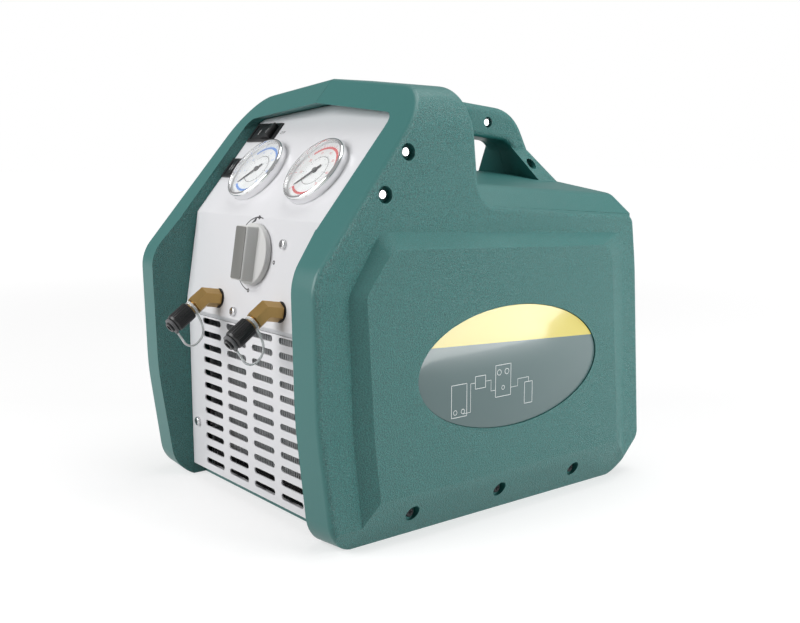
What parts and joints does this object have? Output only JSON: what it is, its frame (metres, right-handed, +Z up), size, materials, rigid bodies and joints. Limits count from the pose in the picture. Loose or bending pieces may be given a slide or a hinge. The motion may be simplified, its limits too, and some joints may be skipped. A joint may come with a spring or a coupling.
{
  "type": "refrigerant recovery unit",
  "caption": "Portable refrigerant recovery and recharge station: moulded two-half housing with handle, sloped gauge panel, selector knob, rockers, capped flare ports and slotted grille.",
  "frame": {"origin": "middle of the footprint's overall box, on the floor", "axes": "+X to the right seen from the front, -Y out of the control panel, +Z up"},
  "size_m": [0.307, 0.3934, 0.358],
  "materials": {
    "green_plastic": "fine spark texture on the sides, smooth band round the front",
    "panel_white": "satin powder coat",
    "label_print": "printed film",
    "black_plastic": "polished",
    "black_rubber": "matte",
    "brass": "machined",
    "chrome": "polished",
    "dial_white": "matte print",
    "lens": "clear",
    "needle_black": "matte",
    "knob_grey": "satin",
    "steel": "zinc plated",
    "aluminium": "as drawn",
    "copper": "drawn copper",
    "cast_grey": "painted casting",
    "strap_clear": "translucent",
    "can_grey": "plain"
  },
  "bodies": {
    "housing": {"shell_right": "green_plastic", "shell_left": "green_plastic", "label_plate": "label_print", "control_panel": "panel_white", "front_grille": "panel_white", "valve_block": "aluminium", "port_grommets": "black_rubber", "base_pan": "steel", "condenser_core": "aluminium", "condenser_plates": "steel", "condenser_bends": "copper", "fan_shroud": "steel", "fan_motor": "cast_grey", "compressor": "cast_grey", "rubber_mounts": "black_rubber", "copper_lines": "copper", "rear_panel": "panel_white", "power_inlet": "black_plastic", "capacitor": "can_grey", "capacitor_clip": "steel", "tower_screws": "steel", "foot_screws": "steel", "handle_screws": "steel", "panel_screws": "steel", "rear_screws": "steel", "power_switch_body": "black_plastic", "start_switch_body": "black_plastic", "low_gauge_case": "chrome", "low_dial": "dial_white", "low_lens": "lens", "high_gauge_case": "chrome", "high_dial": "dial_white", "high_lens": "lens", "inlet_port": "brass", "outlet_port": "brass", "inlet_strap": "strap_clear", "outlet_strap": "strap_clear"},
    "knob": {"valve_knob": "knob_grey", "valve_stem": "steel"},
    "power_rocker": {"power_rocker": "black_plastic"},
    "start_rocker": {"start_rocker": "black_plastic"},
    "low_needle": {"low_needle": "needle_black"},
    "high_needle": {"high_needle": "needle_black"},
    "fan": {"fan_rotor": "black_plastic"},
    "inlet_ring": {"inlet_cap_ring": "black_rubber"},
    "inlet_cap": {"inlet_cap": "black_rubber"},
    "outlet_ring": {"outlet_cap_ring": "black_rubber"},
    "outlet_cap": {"outlet_cap": "black_rubber"}
  },
  "joints": [
    {"name": "knob_turn", "type": "hinge", "parent": "housing", "child": "knob", "pos_m": [0.003, -0.13967, 0.21307], "axis": [0, -0.9866, 0.1633], "range_deg": [0, 270]},
    {"name": "power_rocker_tip", "type": "hinge", "parent": "housing", "child": "power_rocker", "pos_m": [-0.082, -0.07385, 0.31124], "axis": [0, 0.6428, 0.766], "range_deg": [0, 16]},
    {"name": "start_rocker_tip", "type": "hinge", "parent": "housing", "child": "start_rocker", "pos_m": [-0.095, -0.10046, 0.27952], "axis": [0, 0.6428, 0.766], "range_deg": [0, 16]},
    {"name": "low_needle_turn", "type": "hinge", "parent": "housing", "child": "low_needle", "pos_m": [-0.0455, -0.10476, 0.27908], "axis": [0, 0.766, -0.6428], "range_deg": [0, 270]},
    {"name": "high_needle_turn", "type": "hinge", "parent": "housing", "child": "high_needle", "pos_m": [0.0455, -0.10476, 0.27908], "axis": [0, 0.766, -0.6428], "range_deg": [0, 270]},
    {"name": "fan_spin", "type": "hinge", "parent": "housing", "child": "fan", "pos_m": [0, -0.09295, 0.084], "axis": [0, 1, 0], "continuous": true},
    {"name": "inlet_ring_slide", "type": "slide", "parent": "housing", "child": "inlet_ring", "axis": [0, -0.8131, -0.5821], "range_m": [0, 0.00635]},
    {"name": "inlet_cap_turn", "type": "hinge", "parent": "inlet_ring", "child": "inlet_cap", "pos_m": [-0.048, -0.17874, 0.16109], "axis": [0, -0.8131, -0.5821], "range_deg": [0, 1800]},
    {"name": "outlet_ring_slide", "type": "slide", "parent": "housing", "child": "outlet_ring", "axis": [0, -0.8131, -0.5821], "range_m": [0, 0.00635]},
    {"name": "outlet_cap_turn", "type": "hinge", "parent": "outlet_ring", "child": "outlet_cap", "pos_m": [0.052, -0.17874, 0.16109], "axis": [0, -0.8131, -0.5821], "range_deg": [0, 1800]}
  ],
  "couplings": [
    {"joint": "inlet_cap_turn", "follows": "inlet_ring_slide", "rad_per_m": 4947.4},
    {"joint": "outlet_cap_turn", "follows": "outlet_ring_slide", "rad_per_m": 4947.4}
  ]
}
